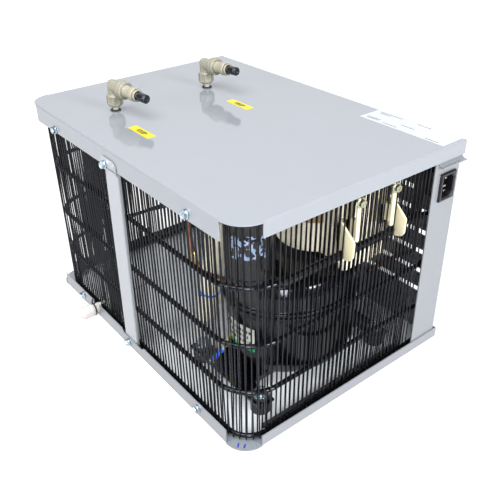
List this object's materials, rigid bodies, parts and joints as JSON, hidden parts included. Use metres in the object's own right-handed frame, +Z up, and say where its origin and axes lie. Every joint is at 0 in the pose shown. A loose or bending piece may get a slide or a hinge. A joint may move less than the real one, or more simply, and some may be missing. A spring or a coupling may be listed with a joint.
{
  "type": "under-counter water chiller",
  "caption": "Boxy water chiller: grey lid with two swivelling push-fit water ports, black wire condenser round three sides, compressor inside, capped drain stub, mains inlet at one corner.",
  "frame": {"origin": "middle of the underside of the base tray", "axes": "+X towards the side with the mains inlet, -Y towards the front face with the strap and drain, +Z up"},
  "size_m": [0.4145, 0.3124, 0.2877],
  "materials": {
    "lid_paint": "smooth semi-gloss light grey paint",
    "grey_paint": "smooth semi-gloss light grey paint",
    "black_wire": "gloss black stove enamel",
    "compressor_black": "gloss black paint",
    "black_rubber": "matt moulded rubber",
    "zinc": "bright zinc plate",
    "relay_black": "gloss black moulding",
    "copper": "drawn copper, slightly dulled",
    "line_foam": "closed-cell foam sleeve",
    "tank_foam": "moulded rigid foam",
    "drier_red": "dark red paint",
    "coil_steel": "drawn stainless tube",
    "fitting_beige": "moulded acetal, satin",
    "collet_cream": "moulded acetal, satin",
    "stem_white": "natural polypropylene",
    "plug_black": "near-black moulded plastic",
    "drain_clear": "translucent white plastic",
    "cap_clear": "translucent white plastic",
    "clamp_black": "black spring wire",
    "inlet_black": "black moulding, satin",
    "pin_nickel": "nickel plate",
    "cable_black": "black cable sheath",
    "clip_cream": "natural nylon",
    "strip_foam": "black open-cell foam",
    "label_white": "printed film",
    "label_yellow": "printed film"
  },
  "bodies": {
    "base": {"base_tray": "grey_paint", "lid": "lid_paint", "rear_panel": "grey_paint", "front_strap": "grey_paint", "wires_outer_front": "black_wire", "wires_outer_left": "black_wire", "wires_outer_right": "black_wire", "wires_inner_front": "black_wire", "wires_inner_left": "black_wire", "wires_inner_right": "black_wire", "condenser_tube": "black_wire", "compressor_lower": "compressor_black", "compressor_upper": "compressor_black", "compressor_feet": "compressor_black", "foot_grommet_1": "black_rubber", "foot_bolt_1": "zinc", "foot_grommet_2": "black_rubber", "foot_bolt_2": "zinc", "foot_grommet_3": "black_rubber", "foot_bolt_3": "zinc", "foot_grommet_4": "black_rubber", "foot_bolt_4": "zinc", "relay_cover": "relay_black", "discharge_tube": "copper", "suction_line": "line_foam", "filter_drier": "drier_red", "tank_insulation": "tank_foam", "water_coil": "coil_steel", "lid_grommet_front": "black_rubber", "stem_front": "stem_white", "lid_grommet_rear": "black_rubber", "stem_rear": "stem_white", "drain_tube": "drain_clear", "drain_clamp": "clamp_black", "inlet_housing": "inlet_black", "inlet_pins": "pin_nickel", "mains_wiring": "cable_black", "clip_front": "clip_cream", "clip_screw_front": "zinc", "clip_rear": "clip_cream", "clip_screw_rear": "zinc", "lid_screw_left": "zinc", "lid_screw_middle": "zinc", "lid_screw_right": "zinc", "base_screw_left": "zinc", "base_screw_middle": "zinc", "base_screw_right": "zinc", "floor_foam_strip": "strip_foam", "label_rating": "label_white", "label_port_front": "label_yellow", "label_port_rear": "label_yellow"},
    "elbow_front": {"elbow_front": "fitting_beige", "reducer_front": "fitting_beige"},
    "collet_front": {"collet_front": "collet_cream"},
    "plug_front": {"plug_front": "plug_black"},
    "elbow_rear": {"elbow_rear": "fitting_beige", "reducer_rear": "fitting_beige"},
    "collet_rear": {"collet_rear": "collet_cream"},
    "plug_rear": {"plug_rear": "plug_black"},
    "drain_cap": {"drain_cap": "cap_clear"}
  },
  "joints": [
    {"name": "front_elbow_swivel", "type": "hinge", "parent": "base", "child": "elbow_front", "pos_m": [-0.1, -0.081, 0.249], "axis": [0.0506, 0, 0.9987], "continuous": true},
    {"name": "front_collet_press", "type": "slide", "parent": "elbow_front", "child": "collet_front", "axis": [-0.9883, -0.1444, 0.0501], "range_m": [0, 0.0015]},
    {"name": "front_plug_pull", "type": "slide", "parent": "elbow_front", "child": "plug_front", "axis": [0.9883, 0.1444, -0.0501], "range_m": [0, 0.025]},
    {"name": "rear_elbow_swivel", "type": "hinge", "parent": "base", "child": "elbow_rear", "pos_m": [-0.1, 0.0433, 0.249], "axis": [-0.0454, 0, 0.999], "continuous": true},
    {"name": "rear_collet_press", "type": "slide", "parent": "elbow_rear", "child": "collet_rear", "axis": [-0.9959, -0.0785, -0.0452], "range_m": [0, 0.0015]},
    {"name": "rear_plug_pull", "type": "slide", "parent": "elbow_rear", "child": "plug_rear", "axis": [0.9959, 0.0785, 0.0452], "range_m": [0, 0.025]},
    {"name": "drain_cap_pull", "type": "slide", "parent": "base", "child": "drain_cap", "axis": [0, -1, 0], "range_m": [0, 0.02]}
  ]
}
